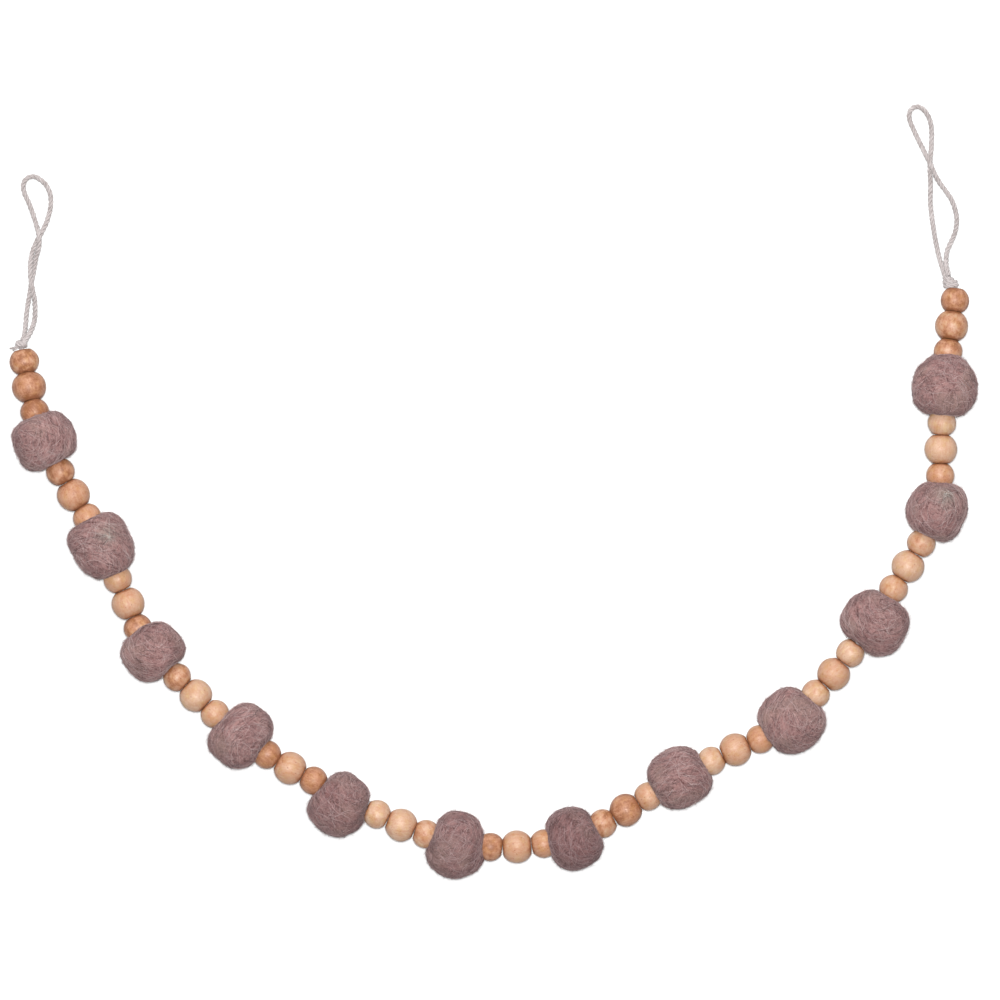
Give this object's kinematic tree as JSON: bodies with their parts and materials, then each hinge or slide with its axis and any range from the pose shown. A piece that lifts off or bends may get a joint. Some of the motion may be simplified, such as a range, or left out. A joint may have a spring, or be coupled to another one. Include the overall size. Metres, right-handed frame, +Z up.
{
  "type": "felt ball garland",
  "caption": "Garland of squeezed felt balls and round wood beads on a twisted cotton cord, with a knot and a hanging loop of the cord at each end.",
  "frame": {"origin": "on the floor, under the middle of the balls and beads, loops and knots left out", "axes": "+X from the left arm of the U to its right arm, +Y towards the loops, +Z up from the floor"},
  "size_m": [0.4841, 0.386, 0.0309],
  "materials": {
    "wool_felt": "matt fuzzy wool felt",
    "pale_wood": "waxed satin wood, paler",
    "warm_wood": "waxed satin wood, warmer",
    "cotton_cord": "matt twisted cotton"
  },
  "bodies": {
    "root": {"felt_ball_01": "wool_felt", "felt_ball_02": "wool_felt", "felt_ball_03": "wool_felt", "felt_ball_04": "wool_felt", "felt_ball_05": "wool_felt", "felt_ball_06": "wool_felt", "felt_ball_07": "wool_felt", "felt_ball_08": "wool_felt", "felt_ball_09": "wool_felt", "felt_ball_10": "wool_felt", "felt_ball_11": "wool_felt", "felt_ball_12": "wool_felt", "large_bead_01": "pale_wood", "large_bead_02": "pale_wood", "large_bead_03": "pale_wood", "large_bead_04": "pale_wood", "large_bead_05": "pale_wood", "large_bead_06": "pale_wood", "large_bead_07": "pale_wood", "large_bead_08": "pale_wood", "large_bead_09": "pale_wood", "large_bead_10": "pale_wood", "large_bead_11": "pale_wood", "large_bead_12": "pale_wood", "large_bead_13": "pale_wood", "small_bead_01": "warm_wood", "small_bead_02": "warm_wood", "small_bead_03": "warm_wood", "small_bead_04": "warm_wood", "small_bead_05": "warm_wood", "small_bead_06": "warm_wood", "small_bead_07": "warm_wood", "small_bead_08": "warm_wood", "small_bead_09": "warm_wood", "small_bead_10": "warm_wood", "small_bead_11": "warm_wood", "small_bead_12": "warm_wood", "small_bead_13": "warm_wood", "small_bead_14": "warm_wood", "small_bead_15": "warm_wood", "small_bead_16": "warm_wood", "small_bead_17": "warm_wood", "small_bead_18": "warm_wood", "small_bead_19": "warm_wood", "small_bead_20": "warm_wood", "small_bead_21": "warm_wood", "small_bead_22": "warm_wood", "small_bead_23": "warm_wood", "small_bead_24": "warm_wood", "small_bead_25": "warm_wood", "small_bead_26": "warm_wood", "string": "cotton_cord", "loop_left": "cotton_cord", "loop_right": "cotton_cord", "knot_left": "cotton_cord", "knot_right": "cotton_cord", "tail_left": "cotton_cord"}
  },
  "joints": []
}
